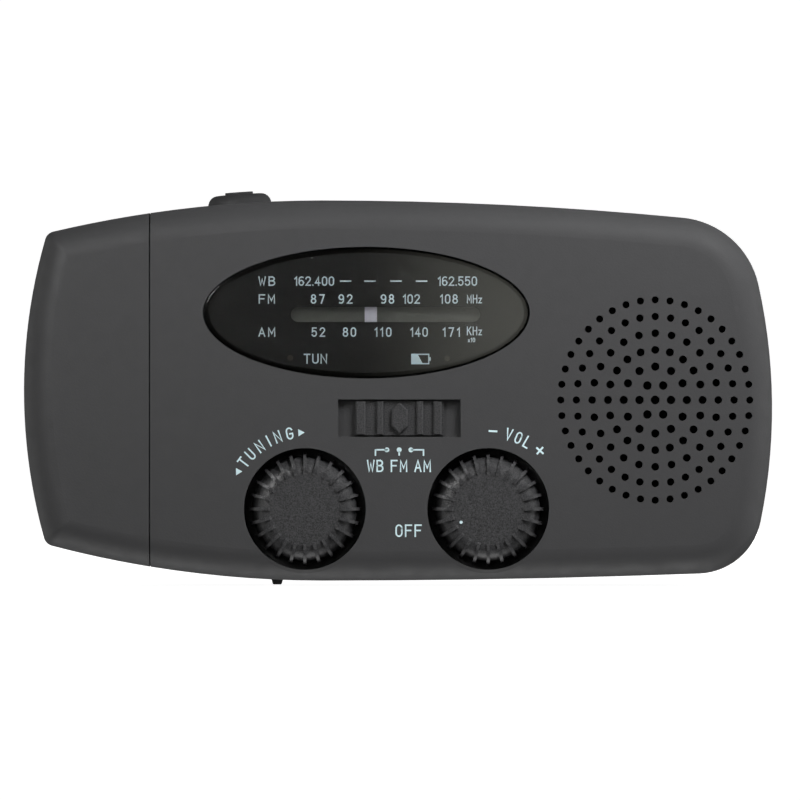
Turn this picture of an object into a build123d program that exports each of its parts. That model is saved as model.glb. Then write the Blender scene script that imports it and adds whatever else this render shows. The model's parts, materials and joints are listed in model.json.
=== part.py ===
"""Emergency radio: a wind-up, solar and battery radio with a torch in its left end.

Millimetres. +X is the radio's right as its user sees it, +Y is its depth towards the back, +Z is up.
The origin is on the surface that it stands on, under the middle of its box.
"""
import os
from math import acos, atan2, cos, degrees, hypot, pi, radians, sin, sqrt, tan

from build123d import *

# ---------------------------------------------------------------- driving dimensions
# the case
face_y = -21.7            # front face
back_y = 22.5             # back face
wall = 2.0
rim_radius = 5.0          # rounding of the front and back rims
case_right = 64.0
apex_x = -13.0            # where the top and bottom edges are level
apex_top = 66.05
apex_bottom = 1.0
right_bulge_z, left_bulge_z = 30.5, 33.5   # heights where the ends bulge most
seam_x = -42.4            # between the torch head and the two shells
seam_gap = 0.2
spigot_end = -41.9        # how far the torch head's spigot reaches into the shells
inside_front, inside_back = -19.5, 20.3   # inner faces of the front and rear walls

# the dial
dial_x, dial_z = -5.4, 46.8
dial_half_width, dial_half_height = 27.9, 11.25
slot_x0, slot_x1, slot_z, slot_height = -18.3, 14.0, 46.5, 2.56
pointer_x, pointer_width, pointer_layer = -4.64, 2.1, (-19.4, -18.9)

dial_ring_back, mask_back = -18.5, -19.8
window_front, mask_front = -21.45, -20.1

# the controls
shaft_radius = 2.0
button_radius, button_rise = 5.45, 2.2
tuning_x, volume_x, knob_z = -15.9, 15.4, 13.3
well_radius, well_floor = 10.4, -16.9
knob_front, knob_back = -22.1, -17.2
switch_x, switch_z = 0.25, 28.8
switch_width, switch_height, switch_floor = 20.9, 6.4, -20.2
button_x = -27.3

# the loudspeaker
speaker_x, speaker_z = 43.9, 31.9
ring_step_x, ring_step_z = 2.69, 2.85
ring_counts = [1, 6, 12, 20, 24, 32, 40]

# the tuning drive, all in one plane behind the knobs
drive_module = 0.8
drive_front, drive_back = -15.0, -13.4
pinion_teeth, idler_teeth, rack_idler_teeth = 14, 14, 15
rack_idler_x, rack_idler_z = -14.0, 35.9

# the crank and its generator
crank_x, crank_z = -8.0, 30.0
dish_radius, dish_floor, dish_wall = 22.5, 13.0, 1.5
train_module = 0.6
crank_teeth, first_teeth, second_teeth, small_teeth = 45, 40, 36, 12
first_angle, second_angle, rotor_angle = -30.0, 70.0, 95.0
mesh_gap = 0.06            # added to each centre distance of the train
axle_radius, bore_play = 1.0, 0.05
layer_a, layer_b, layer_c = (8.2, 10.0), (5.9, 7.7), (3.6, 5.4)
hinge_x, hinge_y = 10.0, 19.6      # fold hinge of the crank's grip

plate_front, plate_back = 1.6, 3.0
bush_radius = 4.0
generator_radius = 10.0

# the boards, the ferrite rod and the cell
board_front, board_back = -12.4, -10.8
board_posts = [(-27.0, 33.0), (22.0, 35.0), (-0.25, 8.0)]
rod_y, rod_z, rod_radius, rod_rests = -14.2, 57.0, 3.0, (-29.0, 23.0)
cell_x, cell_y, cell_radius, cell_z0, cell_z1 = 43.0, 9.3, 8.5, 5.2, 52.2

# the antenna
antenna_x, antenna_y, antenna_z = -34.5, 18.0, 58.4
rebate_x, rebate_y, rebate_z = -38.6, 14.6, 55.2

# the port bay in the underside
bay_x0, bay_x1, bay_y0, bay_y1, bay_z = -36.0, -6.0, 4.0, 12.5, 3.0
tab_x = -20.9
usb_x0, usb_x1, usb_y0, usb_y1 = -34.0, -20.8, 4.4, 10.2
micro_x0, micro_x1, micro_y0, micro_y1 = -17.0, -9.0, 5.7, 8.7
socket_z0, socket_z1 = 3.2, 12.4

# screws
boss_places = [(-38.2, 10.5), (-38.2, 50.0), (56.5, 13.0), (56.5, 49.0)]
boss_radius, screw_seat = 3.5, 8.0
case_screw_radius, case_head_radius, small_screw_radius, small_head_radius = 1.0, 2.2, 0.8, 1.6
case_screw_tip, board_screw_tip, plate_screw_length = -10.0, -16.5, 4.5
post_places = [(-26.0, 45.0), (-27.0, 19.0), (24.5, 15.0)]

os.makedirs("parts", exist_ok=True)


# ---------------------------------------------------------------- helpers
def at_depth(y):
    """The plane at depth y that faces the front, so that a positive extrude comes forward."""
    return Plane.XZ.offset(-y)


def disc(x, z, radius, y_front, y_back, mode=Mode.ADD):
    """A round bar along Y, added to the part being built."""
    with BuildSketch(at_depth(y_back)) as profile:
        with Locations((x, z)):
            Circle(radius)
    extrude(profile.sketch, amount=y_back - y_front, mode=mode)


def block(x_range, y_range, z_range, mode=Mode.ADD):
    """A box between two corners, added to the part being built."""
    low = Vector(x_range[0], y_range[0], z_range[0])
    high = Vector(x_range[1], y_range[1], z_range[1])
    with Locations((low + high) / 2):
        Box(high.X - low.X, high.Y - low.Y, high.Z - low.Z, mode=mode)


def ellipse_slab(half_width, half_height, y_front, y_back, mode=Mode.ADD):
    """A slab with the dial's oval outline, added to the part being built."""
    with BuildSketch(at_depth(y_back)) as profile:
        with Locations((dial_x, dial_z)):
            Ellipse(half_width, half_height)
    extrude(profile.sketch, amount=y_back - y_front, mode=mode)


def save(builder, name):
    """Labels a finished piece and writes it."""
    builder.part.label = name
    export_step(builder.part, f"parts/{name}.step")


def radial(x, z, distance, angle):
    """The point at a distance and an angle in degrees from (x, z), seen from the front."""
    return x + distance * cos(radians(angle)), z + distance * sin(radians(angle))


def tooth_points(module, teeth, phase, play=0.16):
    """Outline of a spur gear with 20 degree involute teeth, one of them centred on phase degrees."""
    pitch_radius = module * teeth / 2
    base_radius = pitch_radius * cos(radians(20))
    tip_radius = pitch_radius + 0.75 * module
    root_radius = pitch_radius - 1.05 * module
    involute_20 = tan(radians(20)) - radians(20)
    half_tooth = (pi * module / 2 - play) / 2 / pitch_radius
    flank = []
    for step in range(5):
        radius = base_radius + (tip_radius - base_radius) * step / 4
        if radius < root_radius:
            continue
        roll = acos(base_radius / radius)
        flank.append((radius, half_tooth + involute_20 - (tan(roll) - roll)))
    if root_radius < base_radius:
        flank.insert(0, (root_radius, flank[0][1]))
    points = []
    for tooth in range(teeth):
        middle = radians(phase) + 2 * pi * tooth / teeth
        for radius, half_angle in flank:
            points.append((radius * cos(middle - half_angle), radius * sin(middle - half_angle)))
        for radius, half_angle in reversed(flank):
            points.append((radius * cos(middle + half_angle), radius * sin(middle + half_angle)))
    return points


def gear(x, z, module, teeth, phase, layer):
    """A toothed wheel with its axis along Y, added to the part being built."""
    with BuildSketch(at_depth(layer[1])) as profile:
        with BuildLine():
            points = tooth_points(module, teeth, phase)
            Polyline(*[(x + point[0], z + point[1]) for point in points], close=True)
        make_face()
    extrude(profile.sketch, amount=layer[1] - layer[0])


def meshing_phase(phase, teeth, direction, next_teeth):
    """Where a tooth of the next gear stands, when it meshes with a gear in the given direction."""
    ahead = (phase - direction) % (360 / teeth)
    return direction + 180 - ahead * teeth / next_teeth + 180 / next_teeth


# ---------------------------------------------------------------- the case's outer form
# The outline is six arcs: long ones along the top and bottom, and a bulge at each end.
left_bulge, right_bulge = 94.0, 96.8
top_left, top_right, bottom_left, bottom_right = 201.0, 646.0, 182.0, 1733.0
right_top_corner, right_bottom_corner, left_corner = 14.7, 11.1, 1.9


def top_edge(x, inset=0.0):
    """Height of the outline's top at x."""
    radius = top_left if x < apex_x else top_right
    return apex_top - radius + sqrt((radius - inset) ** 2 - (x - apex_x) ** 2)


def bottom_edge(x, inset=0.0):
    """Height of the outline's bottom at x."""
    radius = bottom_left if x < apex_x else bottom_right
    return apex_bottom + radius - sqrt((radius - inset) ** 2 - (x - apex_x) ** 2)


def right_edge(z, inset=0.0):
    """Where the outline's right-hand bulge stands at height z."""
    return case_right - right_bulge + sqrt((right_bulge - inset) ** 2 - (z - right_bulge_z) ** 2)


def left_edge(z, inset=0.0):
    """Where the outline's left-hand bulge stands at height z."""
    return left_bulge - case_right - sqrt((left_bulge - inset) ** 2 - (z - left_bulge_z) ** 2)


def corner(edge, end, inset):
    """Where a long edge meets a bulge, found by stepping between the two."""
    x = 0.0
    for _ in range(20):
        x = end(edge(x, inset), inset)
    return x, edge(x, inset)


def edge_arc(edge, x0, x1, inset):
    """One arc of the outline along the top or the bottom, from x0 to x1."""
    middle = (x0 + x1) / 2
    ThreePointArc((x0, edge(x0, inset)), (middle, edge(middle, inset)), (x1, edge(x1, inset)))


def case_outline(inset=0.0):
    """The case's outline, or the same outline moved inwards."""
    right_top, right_bottom = corner(top_edge, right_edge, inset), corner(bottom_edge, right_edge, inset)
    left_top, left_bottom = corner(top_edge, left_edge, inset), corner(bottom_edge, left_edge, inset)
    with BuildSketch() as form:
        with BuildLine():
            edge_arc(top_edge, left_top[0], apex_x, inset)
            edge_arc(top_edge, apex_x, right_top[0], inset)
            ThreePointArc(right_top, (right_edge(right_bulge_z, inset), right_bulge_z), right_bottom)
            edge_arc(bottom_edge, right_bottom[0], apex_x, inset)
            edge_arc(bottom_edge, apex_x, left_bottom[0], inset)
            ThreePointArc(left_bottom, (left_edge(left_bulge_z, inset), left_bulge_z), left_top)
        make_face()
        right_corners = form.vertices().sort_by(Axis.X)[-2:].sort_by(Axis.Y)
        fillet(right_corners[0], right_bottom_corner - inset)
        top_corner = form.vertices().filter_by_position(Axis.X, 40, 70).sort_by(Axis.Y)[-1]
        fillet(top_corner, right_top_corner - inset)
    return form.sketch


outline = case_outline()
inner_outline = case_outline(wall)

with BuildPart() as case_form:
    with BuildSketch(at_depth(back_y)):
        add(outline)
    extrude(amount=back_y - face_y)
    fillet(case_form.faces().filter_by(Axis.Y).edges(), rim_radius)
    fillet(case_form.edges().filter_by(Axis.Y).sort_by(Axis.X)[:2], left_corner)

with BuildPart() as case_hollow:
    with BuildSketch(at_depth(inside_back)):
        add(inner_outline)
    extrude(amount=inside_back - inside_front)
    fillet(case_hollow.faces().filter_by(Axis.Y).edges(), 0.8)

with BuildPart() as parting_groove:
    with BuildSketch(at_depth(0.15)):
        add(outline)
        add(case_outline(0.5), mode=Mode.SUBTRACT)
    extrude(amount=0.3)

# the sloping plane of the solar panel, through its two ends, and the plane of the torch button
solar_x0, solar_x1, solar_y0, solar_y1, solar_sink = -12.0, 46.0, -14.0, 12.0, 0.3
solar_z0, solar_z1 = top_edge(solar_x0) - solar_sink, top_edge(solar_x1) - solar_sink
solar_length = hypot(solar_x1 - solar_x0, solar_z1 - solar_z0)
solar_direction = Vector(solar_x1 - solar_x0, 0, solar_z1 - solar_z0)
solar_plane = Plane(
    origin=((solar_x0 + solar_x1) / 2, (solar_y0 + solar_y1) / 2, (solar_z0 + solar_z1) / 2),
    x_dir=solar_direction,
    z_dir=Vector(-solar_direction.Z, 0, solar_direction.X),
)
solar_width = solar_y1 - solar_y0
button_slope = (apex_x - button_x) / top_left
button_plane = Plane(origin=(button_x, 0, top_edge(button_x)), x_dir=(1, 0, button_slope),
                     z_dir=(-button_slope, 0, 1))
post_half_x, post_half_y = 4.8, 6.2


def top_fittings():
    """Pad for the solar panel and posts for the torch switch, added inside the top of a shell."""
    with BuildSketch(solar_plane.offset(-3.2)) as profile:
        Rectangle(solar_length + 4, solar_width + 4)
    extrude(profile.sketch, amount=2.4)
    with BuildSketch(button_plane.offset(-9.0)) as profile:
        with GridLocations(2 * post_half_x, 2 * post_half_y, 2, 2):
            Circle(1.2)
    extrude(profile.sketch, amount=8.0)


def top_cuts():
    """Pocket for the solar panel and hole for the torch button, cut from a shell."""
    with BuildSketch(solar_plane.offset(-1.6)) as profile:
        Rectangle(solar_length, solar_width)
    extrude(profile.sketch, amount=4.0, mode=Mode.SUBTRACT)
    with BuildSketch(button_plane.offset(-3.0)) as profile:
        Circle(button_radius + 0.15)
    extrude(profile.sketch, amount=6.0, mode=Mode.SUBTRACT)


# ---------------------------------------------------------------- front shell
def grille_holes():
    """Centre and radius of each hole of the loudspeaker grille."""
    for ring, count in enumerate(ring_counts):
        for step in range(count):
            angle = 2 * pi * step / count
            x = speaker_x + ring * ring_step_x * cos(angle)
            yield x, speaker_z + ring * ring_step_z * sin(angle), 0.76 - 0.025 * ring


with BuildPart() as front_shell:
    add(case_form.part)
    add(case_hollow.part, mode=Mode.SUBTRACT)
    ellipse_slab(dial_half_width + 1.5, dial_half_height + 1.5, inside_front - 0.1, dial_ring_back)
    for x in (tuning_x, volume_x):
        disc(x, knob_z, well_radius + 1.5, inside_front - 1.5, well_floor + 1.0)
    block((switch_x - 11.8, switch_x + 11.8), (inside_front - 0.1, -18.0),
          (switch_z - 4.4, switch_z + 4.4))
    for x, z in boss_places:
        disc(x, z, boss_radius, inside_front - 0.1, 0.0)
    for x, z in board_posts:
        disc(x, z, 2.0, inside_front - 0.1, board_front)
    with BuildSketch(at_depth(-17.5)):
        with Locations((speaker_x, speaker_z)):
            Ellipse(17.9, 19.2)
            Ellipse(17.0, 18.3, mode=Mode.SUBTRACT)
    extrude(amount=2.1)
    for x in rod_rests:
        block((x - 1, x + 1), (inside_front - 0.1, rod_y), (rod_z - 5, rod_z))
    top_fittings()
    add(case_form.part, mode=Mode.INTERSECT)
    ellipse_slab(dial_half_width, dial_half_height, face_y - 1, mask_back, Mode.SUBTRACT)
    ellipse_slab(dial_half_width - 1.5, dial_half_height - 1.45, face_y - 1, dial_ring_back + 1,
                 Mode.SUBTRACT)
    for x in (tuning_x, volume_x):
        disc(x, knob_z, well_radius, face_y - 1, well_floor, Mode.SUBTRACT)
        disc(x, knob_z, shaft_radius + 0.3, well_floor - 1, well_floor + 2, Mode.SUBTRACT)
    block((switch_x - switch_width / 2, switch_x + switch_width / 2), (face_y - 1, switch_floor),
          (switch_z - switch_height / 2, switch_z + switch_height / 2), Mode.SUBTRACT)
    block((switch_x - 4.5, switch_x + 4.5), (switch_floor - 0.5, -17.0),
          (switch_z - 1.5, switch_z + 1.5), Mode.SUBTRACT)
    with BuildSketch(at_depth(inside_front + 0.5)):
        for x, z, radius in grille_holes():
            with Locations((x, z)):
                Circle(radius)
    extrude(amount=inside_front - face_y + 1.5, mode=Mode.SUBTRACT)
    for x, z in boss_places:
        disc(x, z, case_screw_radius, case_screw_tip, 1.0, Mode.SUBTRACT)
    for x, z in board_posts:
        disc(x, z, small_screw_radius, board_screw_tip, board_front + 1, Mode.SUBTRACT)
    with BuildSketch(Plane.YZ.offset(rod_rests[0] - 3)):
        with Locations((rod_y, rod_z)):
            Circle(rod_radius)
    extrude(amount=rod_rests[1] - rod_rests[0] + 6, mode=Mode.SUBTRACT)
    top_cuts()
    add(parting_groove.part, mode=Mode.SUBTRACT)
    block((seam_x + seam_gap / 2, 70), (-30, 0), (-5, 75), Mode.INTERSECT)
save(front_shell, "front_shell")

# ---------------------------------------------------------------- rear shell
with BuildPart() as rear_shell:
    add(case_form.part)
    add(case_hollow.part, mode=Mode.SUBTRACT)
    disc(crank_x, crank_z, dish_radius + 1.2, dish_floor - dish_wall, back_y + 1)
    disc(crank_x, crank_z, 5.5, dish_floor - 2.5, dish_floor + 1)
    for x, z in boss_places:
        disc(x, z, boss_radius, 0.0, inside_back + 0.1)
    for x, z in post_places:
        disc(x, z, 2.5, plate_back, inside_back + 0.1)
    block((rebate_x - 1.4, 66), (rebate_y - 1.2, back_y + 2), (rebate_z - 1.2, 67))
    block((bay_x0 - 1.5, bay_x1 + 1.5), (bay_y0 - 1.2, bay_y1 + 1.5), (0.5, bay_z + 1.4))
    top_fittings()
    add(case_form.part, mode=Mode.INTERSECT)
    disc(crank_x, crank_z, dish_radius, dish_floor, back_y + 1, Mode.SUBTRACT)
    disc(crank_x, crank_z, bush_radius, dish_floor - 4, dish_floor + 1, Mode.SUBTRACT)
    block((rebate_x, 70), (rebate_y, back_y + 1), (rebate_z, 70), Mode.SUBTRACT)
    block((bay_x0, bay_x1), (bay_y0, bay_y1 + 0.15), (-1, bay_z), Mode.SUBTRACT)
    block((usb_x0 - 0.1, usb_x1 + 0.1), (usb_y0 - 0.1, usb_y1 + 0.1), (bay_z - 1, bay_z + 3),
          Mode.SUBTRACT)
    block((micro_x0 - 0.1, micro_x1 + 0.1), (micro_y0 - 0.1, micro_y1 + 0.1),
          (bay_z - 1, bay_z + 3), Mode.SUBTRACT)
    for x, z in boss_places:
        disc(x, z, case_head_radius + 0.3, screw_seat, back_y + 1, Mode.SUBTRACT)
        disc(x, z, case_screw_radius + 0.2, -1.0, screw_seat + 1, Mode.SUBTRACT)
    for x, z in post_places:
        disc(x, z, small_screw_radius, plate_back - 1, plate_back + plate_screw_length, Mode.SUBTRACT)
    top_cuts()
    add(parting_groove.part, mode=Mode.SUBTRACT)
    block((seam_x + seam_gap / 2, 70), (0, 30), (-5, 75), Mode.INTERSECT)
save(rear_shell, "rear_shell")

# ---------------------------------------------------------------- torch head
lens_y, lens_z, lens_corner = (-15.5, 15.5), (12.6, 54.6), 9.0
lens_x0, lens_x1, reflector_x, lamp_board_x = -60.6, -59.1, -50.1, -48.9
lamp_heights = [20.6, 33.6, 46.6]


def lens_slab(x0, x1, shrink=0.0, mode=Mode.ADD):
    """A slab across the torch's mouth with its rounded oblong outline, added to a part."""
    with BuildSketch(Plane.YZ.offset(x0)) as profile:
        with Locations(((lens_y[0] + lens_y[1]) / 2, (lens_z[0] + lens_z[1]) / 2)):
            RectangleRounded(lens_y[1] - lens_y[0] - 2 * shrink,
                             lens_z[1] - lens_z[0] - 2 * shrink, lens_corner - shrink)
    extrude(profile.sketch, amount=x1 - x0, mode=mode)


def ring(x0, x1, outer_inset):
    """A band round the inside of the case between two places along it, added to a part."""
    with BuildPart(mode=Mode.PRIVATE) as band:
        with BuildSketch(at_depth(inside_back - outer_inset + wall)):
            add(case_outline(outer_inset))
        extrude(amount=inside_back - inside_front + 2 * (wall - outer_inset))
        with BuildSketch(at_depth(inside_back - 1.1)):
            add(case_outline(wall + 1.1))
        extrude(amount=inside_back - inside_front - 2.2, mode=Mode.SUBTRACT)
        block((x0, x1), (-30, 30), (-5, 75), Mode.INTERSECT)
    add(band.part)


with BuildPart() as torch_head:
    add(case_form.part)
    add(case_hollow.part, mode=Mode.SUBTRACT)
    block((-66, seam_x - seam_gap / 2), (-30, 30), (-5, 75), Mode.INTERSECT)
    lens_slab(-61.5, lamp_board_x, -1.5)
    lens_slab(-66, -50, 1.5, Mode.SUBTRACT)
    lens_slab(lens_x0, -44, 0.0, Mode.SUBTRACT)
    ring(-46.0, seam_x - seam_gap, wall - 0.5)
    ring(-46.0, spigot_end, wall + 0.1)
save(torch_head, "torch_head")

with BuildPart() as torch_lens:
    lens_slab(lens_x0, lens_x1)
save(torch_lens, "torch_lens")

with BuildPart() as torch_reflector:
    lens_slab(lens_x1, reflector_x)
    for z in lamp_heights:
        with BuildSketch(Plane.XY.offset(z)):
            with BuildLine():
                Polyline((lens_x1, 0), (lens_x1, 6.2), (reflector_x + 0.6, 2.9), (reflector_x, 2.9),
                         (reflector_x, 0), close=True)
            make_face()
        revolve(axis=Axis((0, 0, z), (1, 0, 0)), mode=Mode.SUBTRACT)
save(torch_reflector, "torch_reflector")

with BuildPart() as torch_lamps:
    for z in lamp_heights:
        with BuildSketch(Plane.YZ.offset(reflector_x)):
            with Locations((0, z)):
                Circle(2.5)
        extrude(amount=-4.2)
        with BuildSketch(Plane.YZ.offset(reflector_x)):
            with Locations((0, z)):
                Circle(2.9)
        extrude(amount=-1.0)
    fillet(torch_lamps.edges().filter_by(GeomType.CIRCLE).group_by(Axis.X)[0], 2.2)
save(torch_lamps, "torch_lamps")

with BuildPart() as torch_board:
    lens_slab(reflector_x, lamp_board_x)
save(torch_board, "torch_board")

# ---------------------------------------------------------------- torch button and its switch
with BuildPart() as torch_button:
    with BuildSketch(button_plane.offset(-3.3)):
        Circle(button_radius + 0.9)
    extrude(amount=1.0)
    with BuildSketch(button_plane.offset(-3.3)):
        Circle(button_radius)
    extrude(amount=3.3 + button_rise - 0.4)
    rounded = torch_button.edges().filter_by(GeomType.CIRCLE).sort_by(Axis.Z)[-1]
    fillet(rounded, 1.75)
    with BuildSketch(button_plane.offset(button_rise - 0.5)):
        Circle(2.4)
    extrude(amount=0.5)
save(torch_button, "torch_button")

with BuildPart() as torch_switch:
    with BuildSketch(button_plane.offset(-9.0)):
        Rectangle(6, 6)
    extrude(amount=3.4)
    with BuildSketch(button_plane.offset(-5.6)):
        Circle(1.6)
    extrude(amount=1.0)
    with BuildSketch(button_plane.offset(-10.0)):
        Rectangle(12.4, 15.2)
    extrude(amount=1.0)
save(torch_switch, "torch_switch")

# ---------------------------------------------------------------- solar panel
with BuildPart() as solar_panel:
    with BuildSketch(solar_plane.offset(-1.6)):
        Rectangle(solar_length, solar_width)
    extrude(amount=0.8)
save(solar_panel, "solar_panel")

with BuildPart() as solar_window:
    with BuildSketch(solar_plane.offset(-0.8)):
        Rectangle(solar_length, solar_width)
    extrude(amount=0.8)
save(solar_window, "solar_window")

# ---------------------------------------------------------------- dial
with BuildPart() as dial_window:
    ellipse_slab(dial_half_width - 0.1, dial_half_height - 0.1, window_front, mask_front)
    fillet(dial_window.faces().sort_by(Axis.Y)[0].edges(), 0.3)
    ellipse_slab(dial_half_width - 1.0, dial_half_height - 1.0, mask_front - 0.15, mask_front,
                 Mode.SUBTRACT)
save(dial_window, "dial_window")

lamp_places = [(-18.4, 39.1), (8.4, 39.0)]
with BuildPart() as dial_mask:
    ellipse_slab(dial_half_width - 0.1, dial_half_height - 0.1, mask_front, mask_back)
    with BuildSketch(at_depth(mask_back)):
        with Locations(((slot_x0 + slot_x1) / 2, slot_z)):
            SlotOverall(slot_x1 - slot_x0, slot_height)
        with Locations(*lamp_places):
            Circle(0.5)
    extrude(amount=1, both=True, mode=Mode.SUBTRACT)
save(dial_mask, "dial_mask")

with BuildPart() as indicator_lamps:
    for x, z in lamp_places:
        disc(x, z, 0.47, mask_front, mask_back)
        disc(x, z, 0.55, mask_back, mask_back + 1.0)
save(indicator_lamps, "indicator_lamps")

with BuildPart() as dial_plate:
    block((dial_x - 27.4, dial_x + 27.4), (dial_ring_back, dial_ring_back + 0.3), (44.6, 48.6))
save(dial_plate, "dial_plate")

# ---------------------------------------------------------------- tuning drive
pinion_radius = drive_module * pinion_teeth / 2
idler_radius = drive_module * idler_teeth / 2
rack_idler_radius = drive_module * rack_idler_teeth / 2
drive_layer = (drive_front, drive_back)

# the first idler stands where it meets both the pinion and the second idler
span_x, span_z = rack_idler_x - tuning_x, rack_idler_z - knob_z
span = hypot(span_x, span_z)
reach_1, reach_2 = pinion_radius + idler_radius, idler_radius + rack_idler_radius
along = (reach_1**2 - reach_2**2 + span**2) / (2 * span)
aside = sqrt(reach_1**2 - along**2)
idler_x = tuning_x + (along * span_x - aside * span_z) / span
idler_z = knob_z + (along * span_z + aside * span_x) / span
angle_1 = degrees(atan2(idler_z - knob_z, idler_x - tuning_x))
angle_2 = degrees(atan2(rack_idler_z - idler_z, rack_idler_x - idler_x))
phase_1 = meshing_phase(0.0, pinion_teeth, angle_1, idler_teeth)
phase_2 = meshing_phase(phase_1, idler_teeth, angle_2, rack_idler_teeth)


def bored_gear(name, x, z, module, teeth, phase, layer, bore):
    """A gear with a round bore, as a part of its own."""
    with BuildPart() as wheel:
        gear(x, z, module, teeth, phase, layer)
        disc(x, z, bore, layer[0] - 1, layer[1] + 1, Mode.SUBTRACT)
    save(wheel, name)


bored_gear("tuning_idler", idler_x, idler_z, drive_module, idler_teeth, phase_1, drive_layer,
           axle_radius + bore_play)
bored_gear("rack_idler", rack_idler_x, rack_idler_z, drive_module, rack_idler_teeth, phase_2,
           drive_layer, axle_radius + bore_play)

# a tooth of the second idler stands "ahead" degrees past straight up, and the rack's gap is over it
rack_pitch = pi * drive_module
rack_line = rack_idler_z + rack_idler_radius
ahead = (phase_2 - 90.0) % (360.0 / rack_idler_teeth)
first_gap = rack_idler_x - radians(ahead) * rack_idler_radius
rack_x0, rack_x1 = -34.0, 0.5
with BuildPart() as pointer_rack:
    block((rack_x0, rack_x1), drive_layer, (rack_line + 1.0 * drive_module, rack_line + 2.5))
    tooth = int((rack_x0 - first_gap) / rack_pitch) - 1
    while True:
        middle = first_gap + (tooth + 0.5) * rack_pitch
        tooth += 1
        if middle < rack_x0 + 1.3:
            continue
        if middle > rack_x1 - 1.3:
            break
        half = (rack_pitch / 2 - 0.16) / 2
        slope = tan(radians(20)) * drive_module
        with BuildSketch(at_depth(drive_back)):
            with BuildLine():
                Polyline((middle - half - slope, rack_line + drive_module),
                         (middle - half + 0.8 * slope, rack_line - 0.8 * drive_module),
                         (middle + half - 0.8 * slope, rack_line - 0.8 * drive_module),
                         (middle + half + slope, rack_line + drive_module), close=True)
            make_face()
        extrude(amount=drive_back - drive_front)
    block((pointer_x - 1.5, pointer_x + 1.5), (pointer_layer[1], drive_front),
          (rack_line + 0.9, 44.3))
save(pointer_rack, "pointer_rack")

with BuildPart() as dial_pointer:
    block((pointer_x - pointer_width / 2, pointer_x + pointer_width / 2), pointer_layer,
          (rack_line + 0.9, 48.2))
save(dial_pointer, "dial_pointer")

# ---------------------------------------------------------------- knobs and their shafts
def knob(x, index_angle=None):
    """A ribbed knob with a conical skirt, and an index mark on its face where an angle is given."""
    with BuildPart() as rib:
        with BuildSketch(Plane.XY.offset(knob_z)):
            with BuildLine():
                Polyline((x + 7.0, knob_front - 0.35), (x + 6.2, knob_front - 0.3),
                         (x + 5.7, knob_front + 0.2), (x + 5.7, knob_back), (x + 9.65, knob_back),
                         (x + 9.5, knob_front + 2.9))
                ThreePointArc((x + 9.5, knob_front + 2.9), (x + 8.62, knob_front + 0.42),
                              (x + 7.0, knob_front - 0.35))
            make_face()
        extrude(amount=0.27, both=True)
    with BuildPart() as turned:
        with BuildSketch(Plane.XY.offset(knob_z)):
            with BuildLine():
                Polyline((x + 8.95, knob_front + 3.0), (x + 9.1, knob_back), (x, knob_back),
                         (x, knob_front), (x + 6.3, knob_front))
                ThreePointArc((x + 6.3, knob_front), (x + 8.1, knob_front + 0.86),
                              (x + 8.95, knob_front + 3.0))
            make_face()
        revolve(axis=Axis((x, 0, knob_z), (0, 1, 0)))
        for step in range(24):
            add(rib.part.rotate(Axis((x, 0, knob_z), (0, 1, 0)), 15 * step))
        disc(x, knob_z, shaft_radius, -19.6, knob_back + 1, Mode.SUBTRACT)
        if index_angle is not None:
            disc(*radial(x, knob_z, 5.15, index_angle), 0.35, knob_front - 0.12, knob_front + 1)
    return turned


save(knob(tuning_x), "tuning_knob")
save(knob(volume_x, 206.0), "volume_knob")

with BuildPart() as tuning_shaft:
    disc(tuning_x, knob_z, shaft_radius, -19.6, -8.0)
    gear(tuning_x, knob_z, drive_module, pinion_teeth, 0.0, drive_layer)
save(tuning_shaft, "tuning_shaft")

with BuildPart() as volume_shaft:
    disc(volume_x, knob_z, shaft_radius, -19.6, -8.0)
save(volume_shaft, "volume_shaft")

with BuildPart() as tuning_capacitor:
    block((tuning_x - 8, tuning_x + 8), (board_back, -4.8), (knob_z - 8, knob_z + 8))
    fillet(tuning_capacitor.edges().filter_by(Axis.Y), 1.5)
    disc(tuning_x, knob_z, shaft_radius + 0.05, board_back - 1, -7.9, Mode.SUBTRACT)
save(tuning_capacitor, "tuning_capacitor")

with BuildPart() as volume_control:
    disc(volume_x, knob_z, 8.0, board_back, -5.0)
    disc(volume_x, knob_z, shaft_radius + 0.05, board_back - 1, -7.9, Mode.SUBTRACT)
save(volume_control, "volume_control")

# ---------------------------------------------------------------- band switch
slider_back, slider_front, ridge_front = switch_floor - 0.15, switch_floor - 0.7, switch_floor - 1.4
with BuildPart() as band_slider:
    for left, right in ((-7.5, -5.8), (-3.9, -2.75), (2.9, 4.05), (5.8, 7.2)):
        block((switch_x + left, switch_x + right), (ridge_front, slider_back),
              (switch_z - 2.9, switch_z + 2.9))
    with BuildSketch(at_depth(slider_back)):
        with BuildLine():
            Polyline((switch_x - 1.4, switch_z - 1.4), (switch_x, switch_z - 2.7),
                     (switch_x + 1.4, switch_z - 1.4), (switch_x + 1.4, switch_z + 1.4),
                     (switch_x, switch_z + 2.7), (switch_x - 1.4, switch_z + 1.4), close=True)
        make_face()
    extrude(amount=slider_back - ridge_front)
    chamfer(band_slider.faces().filter_by(Axis.Y).group_by(Axis.Y)[0].edges(), 0.22)
    block((switch_x - 7.6, switch_x + 7.6), (slider_front, slider_back),
          (switch_z - 2.9, switch_z + 2.9))
    block((switch_x - 1.7, switch_x + 1.7), (slider_back - 0.1, -16.0),
          (switch_z - 1.2, switch_z + 1.2))
save(band_slider, "band_slider")

with BuildPart() as band_switch:
    block((switch_x - 7, switch_x + 7), (-17.7, board_front), (switch_z - 2.8, switch_z + 2.8))
    block((switch_x - 4.6, switch_x + 4.6), (-18, -15.6), (switch_z - 1.5, switch_z + 1.5), Mode.SUBTRACT)
save(band_switch, "band_switch")

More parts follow.
